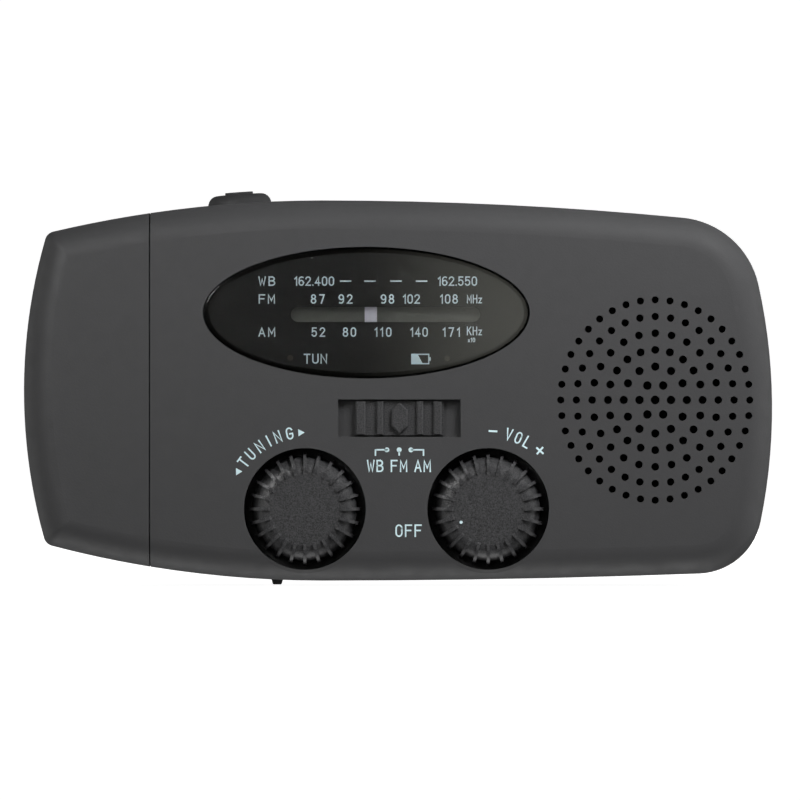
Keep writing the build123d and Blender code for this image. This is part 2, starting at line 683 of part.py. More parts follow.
# ---------------------------------------------------------------- boards and ferrite rod
with BuildPart() as main_board:
    block((-30, 25), (board_front, board_back), (5, 38))
    for x in (tuning_x, volume_x):
        disc(x, knob_z, shaft_radius + 0.6, -14, -9, Mode.SUBTRACT)
    for x, z in board_posts:
        disc(x, z, small_screw_radius, -14, -9, Mode.SUBTRACT)
save(main_board, "main_board")

with BuildPart() as ferrite_rod:
    with BuildSketch(Plane.YZ.offset(-30)):
        with Locations((rod_y, rod_z)):
            Circle(rod_radius)
    extrude(amount=55)
save(ferrite_rod, "ferrite_rod")

with BuildPart() as ferrite_coil:
    with BuildSketch(Plane.YZ.offset(-24)):
        with Locations((rod_y, rod_z)):
            Circle(rod_radius + 1.0)
            Circle(rod_radius, mode=Mode.SUBTRACT)
    extrude(amount=14)
save(ferrite_coil, "ferrite_coil")

# ---------------------------------------------------------------- loudspeaker
def turned_about_speaker(points):
    """Turns an outline of (radius, depth) points about the loudspeaker's axis, into the part."""
    with BuildSketch(Plane.XY.offset(speaker_z)) as profile:
        with BuildLine():
            Polyline(*[(speaker_x + radius, depth) for radius, depth in points], close=True)
        make_face()
    revolve(profile.sketch, axis=Axis((speaker_x, 0, speaker_z), (0, 1, 0)))


with BuildPart() as speaker_felt:
    with BuildSketch(at_depth(-19.2)):
        with Locations((speaker_x, speaker_z)):
            Ellipse(16.9, 18.2)
    extrude(amount=0.3)
save(speaker_felt, "speaker_felt")

with BuildPart() as speaker_frame:
    turned_about_speaker([(16.9, -19.2), (16.9, -18.2), (15.8, -18.2), (10.5, -13.0), (3.5, -13.0),
                          (3.5, -14.0), (9.8, -14.0), (14.8, -18.4), (14.8, -19.2)])
    disc(speaker_x, speaker_z, 10.0, -13.0, -6.5)
save(speaker_frame, "speaker_frame")

with BuildPart() as speaker_cone:
    turned_about_speaker([(14.8, -18.4), (14.8, -18.8), (13.2, -18.6), (4.0, -15.2), (2.4, -16.0),
                          (0, -16.4), (0, -16.0), (2.2, -15.6), (3.4, -14.9), (3.4, -14.0),
                          (3.8, -14.0), (3.8, -14.8), (13.2, -18.2)])
save(speaker_cone, "speaker_cone")

# ---------------------------------------------------------------- rechargeable cell
with BuildPart() as battery_cell:
    with BuildSketch(Plane.XY.offset(cell_z0)):
        with Locations((cell_x, cell_y)):
            Circle(cell_radius)
    extrude(amount=cell_z1 - cell_z0)
    fillet(battery_cell.edges().filter_by(GeomType.CIRCLE), 0.8)
save(battery_cell, "battery_cell")

with BuildPart() as battery_holder:
    block((cell_x - 9, cell_x + 9), (cell_y - 4, inside_back), (cell_z0 - 0.8, cell_z1 + 1.0))
    block((cell_x - 8.6, cell_x + 8.6), (cell_y - 9, cell_y + 9), (cell_z0, cell_z1), Mode.SUBTRACT)
save(battery_holder, "battery_holder")

# ---------------------------------------------------------------- crank, gear train and generator
def train_reach(large_teeth):
    """Centre distance of a large wheel and the small pinion that it drives."""
    return train_module * (large_teeth + small_teeth) / 2 + mesh_gap


first_x, first_z = radial(crank_x, crank_z, train_reach(crank_teeth), first_angle)
second_x, second_z = radial(first_x, first_z, train_reach(first_teeth), second_angle)
rotor_x, rotor_z = radial(second_x, second_z, train_reach(second_teeth), rotor_angle)
first_phase = meshing_phase(0.0, crank_teeth, first_angle, small_teeth)
second_phase = meshing_phase(0.0, first_teeth, second_angle, small_teeth)
rotor_phase = meshing_phase(0.0, second_teeth, rotor_angle, small_teeth)

bored_gear("crank_gear", crank_x, crank_z, train_module, crank_teeth, 0.0, layer_a, 2.5)


def compound_gear(name, x, z, large_teeth, large_layer, small_phase, small_layer):
    """A large wheel and a small pinion on one hub, with a bore that runs on a fixed axle."""
    with BuildPart() as wheel:
        gear(x, z, train_module, large_teeth, 0.0, large_layer)
        gear(x, z, train_module, small_teeth, small_phase, small_layer)
        disc(x, z, 2.4, large_layer[0], small_layer[1])
        disc(x, z, axle_radius + bore_play, 0, 12, Mode.SUBTRACT)
    save(wheel, name)


compound_gear("first_gear", first_x, first_z, first_teeth, layer_b, first_phase, layer_a)
compound_gear("second_gear", second_x, second_z, second_teeth, layer_c, second_phase, layer_b)

with BuildPart() as gear_axles:
    for x, z in ((first_x, first_z), (second_x, second_z)):
        disc(x, z, axle_radius, plate_front, dish_floor - dish_wall)
    for x, z in ((idler_x, idler_z), (rack_idler_x, rack_idler_z)):
        disc(x, z, axle_radius, drive_front - 0.6, board_front)
        disc(x, z, 1.7, drive_front - 0.6, drive_front - 0.15)
        disc(x, z, 2.2, drive_back + 0.2, board_front)
save(gear_axles, "gear_axles")

with BuildPart() as gearbox_plate:
    block((-30.5, 28), (plate_front, plate_back), (12.8, 49))
    fillet(gearbox_plate.edges().filter_by(Axis.Y), 3)
    disc(rotor_x, rotor_z, generator_radius + 0.3, plate_front, plate_back)
    disc(rotor_x, rotor_z, 1.6, 0, 4, Mode.SUBTRACT)
    disc(crank_x, crank_z, 1.55, 0, 4, Mode.SUBTRACT)
    for x, z in ((first_x, first_z), (second_x, second_z)):
        disc(x, z, axle_radius, 0, 4, Mode.SUBTRACT)
    for x, z in post_places:
        disc(x, z, small_screw_radius, 0, 4, Mode.SUBTRACT)
save(gearbox_plate, "gearbox_plate")

with BuildPart() as plate_screws:
    for x, z in post_places:
        disc(x, z, small_screw_radius, plate_front, plate_back + plate_screw_length)
        disc(x, z, small_head_radius, plate_front - 1.2, plate_front)
    for x, z in board_posts:
        disc(x, z, small_screw_radius, board_screw_tip, board_back)
        disc(x, z, small_head_radius, board_back, board_back + 1.2)
save(plate_screws, "plate_screws")

with BuildPart() as generator_can:
    disc(rotor_x, rotor_z, generator_radius, -11.0, plate_front)
    disc(rotor_x, rotor_z, generator_radius - 1.0, -10.0, plate_front - 1.0, Mode.SUBTRACT)
    disc(rotor_x, rotor_z, axle_radius + bore_play, plate_front - 2, plate_front + 1, Mode.SUBTRACT)
save(generator_can, "generator_can")

with BuildPart() as generator_rotor:
    disc(rotor_x, rotor_z, generator_radius - 2.0, -9.0, -1.0)
    disc(rotor_x, rotor_z, axle_radius, -9.6, layer_c[1])
    gear(rotor_x, rotor_z, train_module, small_teeth, rotor_phase, layer_c)
save(generator_rotor, "generator_rotor")

with BuildPart() as crank_shaft:
    disc(crank_x, crank_z, 1.5, plate_front + 0.2, layer_c[0])
    disc(crank_x, crank_z, 2.5, layer_c[0], dish_floor + 0.4)
    with BuildSketch(at_depth(dish_floor + 2.4)):
        with Locations((crank_x, crank_z)):
            Rectangle(3.4, 3.4)
    extrude(amount=2.2)
    disc(crank_x, crank_z, 1.0, dish_floor - 3, dish_floor + 4, Mode.SUBTRACT)
save(crank_shaft, "crank_shaft")

with BuildPart() as crank_bush:
    disc(crank_x, crank_z, bush_radius, dish_floor - 2.5, dish_floor)
    disc(crank_x, crank_z, 2.55, dish_floor - 4, dish_floor + 1, Mode.SUBTRACT)
save(crank_bush, "crank_bush")

arm_front, arm_back = dish_floor + 0.4, dish_floor + 3.4
with BuildPart() as crank_arm:
    with BuildSketch(at_depth(arm_back)):
        with Locations(((crank_x + hinge_x) / 2, crank_z)):
            SlotOverall(hinge_x - crank_x + 8.0, 8.0)
    extrude(amount=arm_back - arm_front)
    fillet(crank_arm.faces().sort_by(Axis.Y)[-1].edges(), 0.5)
    for side in (-1, 1):
        with BuildSketch(Plane.XY.offset(crank_z + 2.0 * side)):
            with Locations((hinge_x, hinge_y)):
                Circle(2.1)
            with Locations((hinge_x, (hinge_y + arm_back - 0.6) / 2)):
                Rectangle(4.2, hinge_y - arm_back + 0.6)
        extrude(amount=0.65, both=True)
    with BuildSketch(Plane.XY.offset(crank_z)):
        with Locations((hinge_x, hinge_y)):
            Circle(0.8)
    extrude(amount=5, both=True, mode=Mode.SUBTRACT)
    with BuildSketch(at_depth(dish_floor + 2.4)):
        with Locations((crank_x, crank_z)):
            Rectangle(3.4, 3.4)
    extrude(amount=3, mode=Mode.SUBTRACT)
    disc(crank_x, crank_z, 1.0, dish_floor, arm_back + 1, Mode.SUBTRACT)
    disc(crank_x, crank_z, 2.2, arm_back - 0.7, arm_back + 1, Mode.SUBTRACT)
save(crank_arm, "crank_arm")

with BuildPart() as crank_screw:
    disc(crank_x, crank_z, 1.0, dish_floor - 3, arm_back)
    disc(crank_x, crank_z, 2.2, arm_back - 0.7, arm_back)
    block((crank_x - 1.6, crank_x + 1.6), (arm_back - 0.35, arm_back + 1), (crank_z - 0.3, crank_z + 0.3),
          Mode.SUBTRACT)
    block((crank_x - 0.3, crank_x + 0.3), (arm_back - 0.35, arm_back + 1), (crank_z - 1.6, crank_z + 1.6),
          Mode.SUBTRACT)
save(crank_screw, "crank_screw")

with BuildPart() as grip_pin:
    with BuildSketch(Plane.XY.offset(crank_z)):
        with Locations((hinge_x, hinge_y)):
            Circle(0.8)
    extrude(amount=2.65, both=True)
save(grip_pin, "grip_pin")


def bar_x(x0, x1, y, z, radius, mode=Mode.ADD):
    """A round bar along X, added to the part being built."""
    with BuildSketch(Plane.YZ.offset(x0)) as profile:
        with Locations((y, z)):
            Circle(radius)
    extrude(profile.sketch, amount=x1 - x0, mode=mode)


grip_x0, grip_x1, grip_radius = hinge_x - 20.5, hinge_x - 3.2, 2.7
with BuildPart() as grip_spindle:
    with BuildSketch(Plane.XY.offset(crank_z)):
        with Locations((hinge_x, hinge_y)):
            Circle(2.1)
    extrude(amount=1.25, both=True)
    bar_x(grip_x0 - 0.4, hinge_x - 1.0, hinge_y, crank_z, 1.2)
    bar_x(grip_x0 - 1.2, grip_x0 - 0.2, hinge_y, crank_z, 2.0)
    with BuildSketch(Plane.XY.offset(crank_z)):
        with Locations((hinge_x, hinge_y)):
            Circle(0.85)
    extrude(amount=3, both=True, mode=Mode.SUBTRACT)
save(grip_spindle, "grip_spindle")

with BuildPart() as crank_grip:
    bar_x(grip_x0, grip_x1, hinge_y, crank_z, grip_radius)
    fillet(crank_grip.edges().filter_by(GeomType.CIRCLE), 0.8)
    for step in range(5):
        middle = grip_x0 + 3.2 + 2.7 * step
        bar_x(middle - 0.35, middle + 0.35, hinge_y, crank_z, 3.0, Mode.SUBTRACT)
        bar_x(middle - 0.35, middle + 0.35, hinge_y, crank_z, grip_radius - 0.4)
    bar_x(grip_x0 - 1, grip_x1 + 1, hinge_y, crank_z, 1.25, Mode.SUBTRACT)
save(crank_grip, "crank_grip")

# ---------------------------------------------------------------- antenna
with BuildPart() as antenna_base:
    with BuildSketch(at_depth(antenna_y + 2.3)):
        with Locations((antenna_x, antenna_z)):
            Circle(2.2)
        with Locations((antenna_x, (antenna_z + rebate_z) / 2)):
            Rectangle(4.4, antenna_z - rebate_z)
    extrude(amount=4.6)
    block((antenna_x - 3.2, antenna_x + 2.6), (antenna_y - 2.3, antenna_y + 2.3),
          (rebate_z, rebate_z + 0.6))
    block((antenna_x - 5, antenna_x + 5), (antenna_y - 1.1, antenna_y + 1.1),
          (rebate_z + 0.6, 64), Mode.SUBTRACT)
    disc(antenna_x, antenna_z, 0.8, antenna_y - 4, antenna_y + 4, Mode.SUBTRACT)
save(antenna_base, "antenna_base")

with BuildPart() as antenna_pin:
    disc(antenna_x, antenna_z, 0.8, antenna_y - 2.3, antenna_y + 2.3)
save(antenna_pin, "antenna_pin")

tube_ends = [antenna_x + 3.0, antenna_x + 5.3, antenna_x + 7.5, antenna_x + 9.5]
tube_radii = [2.4, 2.0, 1.6, 1.2]
tube_tips = [50.0, 50.8, 51.6, 52.4]
for index, (start, radius, tip) in enumerate(zip(tube_ends, tube_radii, tube_tips)):
    with BuildPart() as tube:
        bar_x(start, tip, antenna_y, antenna_z, radius)
        if index < 3:
            bar_x(start + 2.0, tip + 1, antenna_y, antenna_z, tube_radii[index + 1] + 0.05,
                  Mode.SUBTRACT)
        else:
            bar_x(tip, tip + 3.0, antenna_y, antenna_z, 2.4)
            fillet(tube.faces().sort_by(Axis.X)[-1].edges(), 1.2)
        if index == 0:
            block((antenna_x, start + 0.5), (antenna_y - 1, antenna_y + 1),
                  (antenna_z - 1.8, antenna_z + 1.8))
            disc(antenna_x, antenna_z, 1.8, antenna_y - 1, antenna_y + 1)
            disc(antenna_x, antenna_z, 0.85, antenna_y - 3, antenna_y + 3, Mode.SUBTRACT)
    save(tube, f"antenna_section_{index + 1}")

# ---------------------------------------------------------------- ports in the underside
with BuildPart() as port_cover:
    block((bay_x0 + 0.15, bay_x1 - 0.15), (bay_y0 + 0.15, bay_y1), (0.5, bay_z - 0.1))
    add(case_form.part, mode=Mode.INTERSECT)
    with BuildSketch(at_depth(bay_y0 + 4.2)) as port_tab:
        with BuildLine():
            Polyline((tab_x - 1.15, 1.6), (tab_x - 0.75, 0.0), (tab_x + 0.75, 0.0),
                     (tab_x + 1.15, 1.6), close=True)
        make_face()
        fillet(port_tab.vertices().group_by(Axis.Y)[0], 0.3)
    extrude(amount=3.9)
save(port_cover, "port_cover")

with BuildPart() as usb_sockets:
    block((usb_x0, usb_x1), (usb_y0, usb_y1), (socket_z0, socket_z1))
    block((usb_x0 + 0.4, usb_x1 - 0.4), (usb_y0 + 0.4, usb_y1 - 0.4), (socket_z0 - 1, socket_z1 - 0.8),
          Mode.SUBTRACT)
    block((usb_x0 + 1.0, usb_x1 - 1.0), (usb_y0 + 0.4, usb_y0 + 2.3), (socket_z0 + 0.5, socket_z1 - 0.5))
    block((micro_x0, micro_x1), (micro_y0, micro_y1), (socket_z0, socket_z1))
    block((micro_x0 + 0.4, micro_x1 - 0.4), (micro_y0 + 0.4, micro_y1 - 0.4),
          (socket_z0 - 1, 8.0), Mode.SUBTRACT)
    block((micro_x0 + 1.2, micro_x1 - 1.2), (micro_y0 + 0.7, micro_y0 + 1.4), (socket_z0 + 0.5, 8.5))
save(usb_sockets, "usb_sockets")

with BuildPart() as port_board:
    block((-34.4, -8), (3.4, 11.2), (socket_z1, socket_z1 + 1.2))
save(port_board, "port_board")

# ---------------------------------------------------------------- case screws
with BuildPart() as case_screws:
    for x, z in boss_places:
        disc(x, z, case_screw_radius, case_screw_tip, screw_seat)
        disc(x, z, case_head_radius, screw_seat, screw_seat + 1.6)
        for angle in (0, 90):
            with BuildSketch(at_depth(screw_seat + 1.6)):
                with Locations(Location((x, z), angle)):
                    Rectangle(3.0, 0.6)
            extrude(amount=0.8, mode=Mode.SUBTRACT)
save(case_screws, "case_screws")
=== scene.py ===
"""Emergency radio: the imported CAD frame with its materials, print, floor, light and camera."""
import json
from math import cos, pi, radians, sin

import bmesh
import bpy
from mathutils import Matrix, Vector


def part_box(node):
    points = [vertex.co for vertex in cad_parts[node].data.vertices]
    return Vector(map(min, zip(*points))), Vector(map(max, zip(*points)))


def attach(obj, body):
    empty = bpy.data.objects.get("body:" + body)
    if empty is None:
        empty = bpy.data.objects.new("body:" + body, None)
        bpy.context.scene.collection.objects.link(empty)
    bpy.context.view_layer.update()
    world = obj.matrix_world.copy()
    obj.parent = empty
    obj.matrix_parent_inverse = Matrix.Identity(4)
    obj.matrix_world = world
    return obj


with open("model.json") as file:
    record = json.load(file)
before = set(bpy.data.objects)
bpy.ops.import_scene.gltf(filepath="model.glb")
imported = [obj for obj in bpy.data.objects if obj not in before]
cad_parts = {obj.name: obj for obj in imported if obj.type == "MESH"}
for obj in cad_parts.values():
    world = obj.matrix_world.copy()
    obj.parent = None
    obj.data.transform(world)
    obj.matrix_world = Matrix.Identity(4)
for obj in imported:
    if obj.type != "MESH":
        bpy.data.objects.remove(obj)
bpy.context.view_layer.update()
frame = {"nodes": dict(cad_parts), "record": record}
nodes = frame["nodes"]
MM = 0.001


# ---------------------------------------------------------------- measures from the frame
def middle(node):
    """Centre of a CAD node's box."""
    low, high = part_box(node)
    return (low + high) / 2


face_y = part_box("front_shell")[0].y
tuning, volume = middle("tuning_knob"), middle("volume_knob")
switch = middle("band_slider")
dial = middle("dial_window")
mask_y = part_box("dial_mask")[0].y


# ---------------------------------------------------------------- materials
DRIFT_SIZE, GLOSS_SIZE = 6 * MM, 2.5 * MM  # patches of another colour and of another gloss on a moulding
RECESS_EDGE, RECESS_SHADE = 0.25 * MM, 1.75 * MM  # depths between which painted shade darkens a hollow of the face
RECESS_FLOOR = 6 * MM  # past the deepest hollow of the face, so that the painted shade leaves the inside of the case its colour


class Shader:
    """A node material with short calls for the few nodes that every finish here is made of."""

    def __init__(self, name, colour, roughness, **sockets):
        self.material = bpy.data.materials.new(name)
        self.material.use_nodes = True
        self.tree = self.material.node_tree
        self.principled = self.tree.nodes["Principled BSDF"]
        self.principled.inputs["Base Color"].default_value = (*colour, 1)
        self.principled.inputs["Roughness"].default_value = roughness
        for socket, value in sockets.items():
            self.principled.inputs[socket.replace("_", " ")].default_value = value
        self.place = self.add("ShaderNodeTexCoord").outputs["Object"]

    def add(self, kind, **settings):
        node = self.tree.nodes.new(kind)
        for name, value in settings.items():
            setattr(node, name, value)
        return node

    def link(self, output, node, socket):
        self.tree.links.new(output, node.inputs[socket])

    def noise(self, size, detail=3.0, stretch=(1, 1, 1)):
        """Noise whose grain is about size metres, as an output from 0 to 1."""
        mapping = self.add("ShaderNodeMapping")
        mapping.inputs["Scale"].default_value = stretch
        self.link(self.place, mapping, "Vector")
        noise = self.add("ShaderNodeTexNoise")
        noise.inputs["Scale"].default_value = 1 / size
        noise.inputs["Detail"].default_value = detail
        self.link(mapping.outputs["Vector"], noise, "Vector")
        return noise.outputs["Fac"]

    def ramp(self, output, start, end, low, high, **settings):
        """Low up to start, high from end, and a slope between, as an output goes up."""
        ranged = self.add("ShaderNodeMapRange", **settings)
        for socket, value in (("From Min", start), ("From Max", end), ("To Min", low), ("To Max", high)):
            ranged.inputs[socket].default_value = value
        self.link(output, ranged, "Value")
        return ranged.outputs["Result"]

    def spread(self, output, low, high):
        """Noise, which stays mostly between 0.3 and 0.7, spread to run from low to high."""
        return self.ramp(output, 0.3, 0.7, low, high)

    def math(self, operation, first, second):
        """A Math node on an output and on a number or another output."""
        node = self.add("ShaderNodeMath", operation=operation)
        self.link(first, node, 0)
        if isinstance(second, float):
            node.inputs[1].default_value = second
        else:
            self.link(second, node, 1)
        return node.outputs["Value"]

    def axes(self, vector):
        """The X, Y and Z outputs of a vector output."""
        split = self.add("ShaderNodeSeparateXYZ")
        self.link(vector, split, "Vector")
        return split.outputs["X"], split.outputs["Y"], split.outputs["Z"]

    def mix(self, factor, first, second):
        """A colour that goes from first to second with factor."""
        blend = self.add("ShaderNodeMix", data_type="RGBA")
        blend.inputs["A"].default_value = (*first, 1)
        blend.inputs["B"].default_value = (*second, 1)
        self.link(factor, blend, "Factor")
        return blend.outputs["Result"]

    def times(self, colour, factor):
        """A colour scaled by an output."""
        product = self.add("ShaderNodeVectorMath", operation="SCALE")
        self.link(colour, product, "Vector")
        self.link(factor, product, "Scale")
        return product.outputs["Vector"]

    def painted_recess_shade(self, place, radius, factor):
        """Painted shade: factor inside a round hollow of the front face about place, and 1 everywhere
        else.
        """
        apart = self.add("ShaderNodeVectorMath", operation="SUBTRACT")
        apart.inputs[1].default_value = place
        self.link(self.add("ShaderNodeNewGeometry").outputs["Position"], apart, 0)
        across = self.add("ShaderNodeVectorMath", operation="MULTIPLY")
        across.inputs[1].default_value = (1, 0, 1)
        self.link(apart.outputs["Vector"], across, 0)
        length = self.add("ShaderNodeVectorMath", operation="LENGTH")
        self.link(across.outputs["Vector"], length, 0)
        inside = self.math("LESS_THAN", length.outputs["Value"], radius)
        depth = self.axes(apart.outputs["Vector"])[1]
        sunk = self.math("MULTIPLY", self.ramp(depth, RECESS_EDGE, RECESS_SHADE, 0.0, 1.0),
                         self.math("LESS_THAN", depth, RECESS_FLOOR))
        return self.ramp(self.math("MULTIPLY", inside, sunk), 0.0, 1.0, 1.0, factor)

    def colour(self, output):
        self.link(output, self.principled, "Base Color")

    def rough(self, output):
        self.link(output, self.principled, "Roughness")

    def bump(self, output, distance, strength=1.0):
        """Bump of about distance metres from an output."""
        bump = self.add("ShaderNodeBump")
        bump.inputs["Distance"].default_value = distance
        bump.inputs["Strength"].default_value = strength
        self.link(output, bump, "Height")
        self.link(bump.outputs["Normal"], self.principled, "Normal")


def scaled(colour, factor):
    return tuple(channel * factor for channel in colour)


def moulded(name, colour, roughness, grain, depth, variation=0.08, speckle=0.0, painted_shade=(), **sockets):
    """Moulded plastic or rubber: a fine grain of the given size and depth, and uneven colour and gloss.

    Variation is the share of the slow drift in colour and speckle that of the grain; painted_shade lists
    hollows of the front face darkened with painted shade, each as its place, its radius and the share of
    the colour left there.
    """
    shader = Shader(name, colour, roughness, **sockets)
    tint = shader.mix(shader.noise(DRIFT_SIZE, 2.0), scaled(colour, 1 - variation),
                      scaled(colour, 1 + variation))
    if speckle:
        tint = shader.times(tint, shader.spread(shader.noise(grain, 1.0), 1 - speckle, 1 + speckle))
    # painted shade: the colour is darkened in each listed hollow of the front face
    for place, radius, factor in painted_shade:
        tint = shader.times(tint, shader.painted_recess_shade(place, radius, factor))
    shader.colour(tint)
    shader.rough(shader.spread(shader.noise(GLOSS_SIZE), roughness - 0.05, roughness + 0.06))
    shader.bump(shader.noise(grain, 2.0), depth)
    return shader.material


def metal(name, colour, roughness, stretch=(1, 1, 1), grain=0.4 * MM):
    """Plated or turned metal with fine tool marks."""
    shader = Shader(name, colour, roughness, Metallic=1.0)
    marks = shader.noise(grain, 4.0, stretch)
    shader.rough(shader.spread(marks, roughness * 0.7, roughness * 1.4))
    shader.bump(marks, 0.004 * MM)
    return shader.material


def clear(name, colour, roughness):
    """Clear plastic with a few faint scuffs."""
    shader = Shader(name, colour, roughness, IOR=1.49, Transmission_Weight=1.0)
    shader.rough(shader.spread(shader.noise(3 * MM), roughness * 0.5, roughness * 2))
    return shader.material


def ink(name, colour, glow=0.0):
    """Screen-print ink: slightly uneven coverage, and a little glow behind the tinted window, which is
    painted light: emission in place of the light that reaches the print through the window.
    """
    shader = Shader(name, colour, 0.55, Emission_Color=(*colour, 1), Emission_Strength=glow)
    shader.colour(shader.mix(shader.noise(0.25 * MM), scaled(colour, 0.90), colour))
    return shader.material


def solar_cells():
    """Dark blue silicon strips with pale gaps and fine fingers across them."""
    shader = Shader("solar cells", (0.010, 0.014, 0.045), 0.28)

    def stripes(output, pitch, share):
        """1 on a share of each pitch and 0 on the rest."""
        part = shader.add("ShaderNodeMath", operation="FRACT")
        shader.link(shader.math("MULTIPLY", output, 1 / pitch), part, 0)
        return shader.math("LESS_THAN", part.outputs["Value"], share)

    x, y = shader.axes(shader.place)[:2]
    gap = stripes(x, 7.25 * MM, 0.09)
    finger = stripes(y, 1.3 * MM, 0.12)
    silicon = shader.mix(finger, (0.010, 0.014, 0.050), (0.12, 0.13, 0.16))
    blend = shader.add("ShaderNodeMix", data_type="RGBA")
    blend.inputs["B"].default_value = (0.30, 0.30, 0.31, 1)
    shader.link(silicon, blend, "A")
    shader.link(gap, blend, "Factor")
    shader.colour(blend.outputs["Result"])
    return shader.material


def circuit_board():
    """Green solder mask with lighter traces."""
    shader = Shader("circuit board", (0.01, 0.08, 0.03), 0.35)
    shader.colour(shader.mix(shader.spread(shader.noise(2.0 * MM, 0.0), 0.0, 1.0),
                             (0.008, 0.07, 0.03), (0.03, 0.16, 0.07)))
    return shader.material


CHARCOAL = (0.047, 0.047, 0.0484)
KNOB_BLACK = (0.043, 0.043, 0.0445)
WELL_RADIUS = 11 * MM  # reach of the painted shade round each knob, a little more than the well that each knob stands in
# Painted shade: the case colour drops to 0.3 inside the well round each knob, where shade falls.
painted_well_shade = [(Vector((knob.x, face_y, knob.z)), WELL_RADIUS, 0.3) for knob in (tuning, volume)]
finishes = {
    # soft-touch charcoal, with painted shade in the well round each knob
    "case": moulded("soft-touch charcoal", CHARCOAL, 0.58, 0.28 * MM, 0.022 * MM, 0.03, painted_shade=painted_well_shade),
    "clear": clear("clear plastic", (0.93, 0.95, 0.96), 0.03),
    "dial_glass": clear("dial window", (0.80, 0.81, 0.81), 0.02),
    "reflector": metal("metallised reflector", (0.86, 0.87, 0.89), 0.08),
    "lamp": clear("lamp epoxy", (0.95, 0.95, 0.80), 0.05),
    "circuit_board": circuit_board(),
    "rubber": moulded("black rubber", (0.026, 0.026, 0.027), 0.62, 0.20 * MM, 0.008 * MM),
    "black_plastic": moulded("black plastic", (0.022, 0.022, 0.023), 0.50, 0.3 * MM, 0.008 * MM),
    "solar_cell": solar_cells(),
    "dial_black": moulded("printed black film", (0.0045, 0.0048, 0.0052), 0.42, 0.2 * MM, 0.001 * MM),
    "indicator": moulded("unlit lamp", (0.055, 0.045, 0.038), 0.30, 0.3 * MM, 0.001 * MM),
    "dial_grey": moulded("olive grey plastic", (0.150, 0.154, 0.138), 0.50, 0.3 * MM, 0.004 * MM),
    "pointer": moulded("pointer white", (0.80, 0.78, 0.88), 0.45, 0.3 * MM, 0.002 * MM, 0.02),
    "knob": moulded("fine-textured black", KNOB_BLACK, 0.36, 0.22 * MM, 0.05 * MM, speckle=0.45),
    "gear_plastic": moulded("acetal", (0.72, 0.70, 0.64), 0.40, 0.4 * MM, 0.004 * MM, 0.03),
    "steel": metal("plated steel", (0.55, 0.55, 0.56), 0.28),
    "chrome": metal("chrome plating", (0.72, 0.73, 0.75), 0.12, (0.05, 1, 1)),
    "ferrite": moulded("ferrite", (0.05, 0.05, 0.055), 0.55, 0.5 * MM, 0.02 * MM),
    "copper": metal("enamelled copper", (0.70, 0.30, 0.14), 0.30, (1, 0.05, 0.05)),
    "felt": moulded("black felt", (0.010, 0.010, 0.010), 0.95, 0.3 * MM, 0.08 * MM),
    "paper": moulded("pressed paper", (0.07, 0.065, 0.06), 0.85, 0.4 * MM, 0.03 * MM),
    "brass": metal("turned brass", (0.65, 0.46, 0.18), 0.25),
    "cell_wrap": moulded("cell wrap", (0.05, 0.16, 0.30), 0.25, 2 * MM, 0.01 * MM),
    "crank_plastic": moulded("crank plastic", (0.030, 0.030, 0.031), 0.48, 0.24 * MM, 0.010 * MM),
}
print_white = ink("bluish white print", (0.66, 0.84, 0.88))
# Painted light: the dial print glows at 0.16, in place of the light that reaches it through the tinted
# window.
print_dial_painted_glow = ink("dial print", (0.76, 0.90, 0.95), 0.16)

node_slot = {part["node"]: part["material_slot"] for part in frame["record"]["subparts"]}
for name, node in nodes.items():
    node.data.materials.clear()
    node.data.materials.append(finishes[node_slot[name]])


# ---------------------------------------------------------------- pieces
def piece(name, mesh_data, material, body):
    """Makes a new piece of a mesh, with its material, that rides on a CAD body."""
    thing = bpy.data.objects.new(name, mesh_data)
    bpy.context.scene.collection.objects.link(thing)
    mesh_data.materials.clear()
    mesh_data.materials.append(material)
    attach(thing, body)


def facing_front(x, y, z, turn=0.0):
    """Matrix that stands a flat XY drawing up at (x, y, z) to face the front, turned anticlockwise."""
    place = Matrix.Translation((x, y, z))
    return place @ Matrix.Rotation(pi / 2, 4, "X") @ Matrix.Rotation(turn, 4, "Z")


def arc(x, y, across, up, start, end):
    """Points about 15 degrees apart on an elliptical arc about (x, y), with angles in degrees."""
    steps = max(2, round(abs(end - start) / 15))
    angles = [radians(start + (end - start) * k / steps) for k in range(steps + 1)]
    return [(x + across * cos(angle), y + up * sin(angle)) for angle in angles]


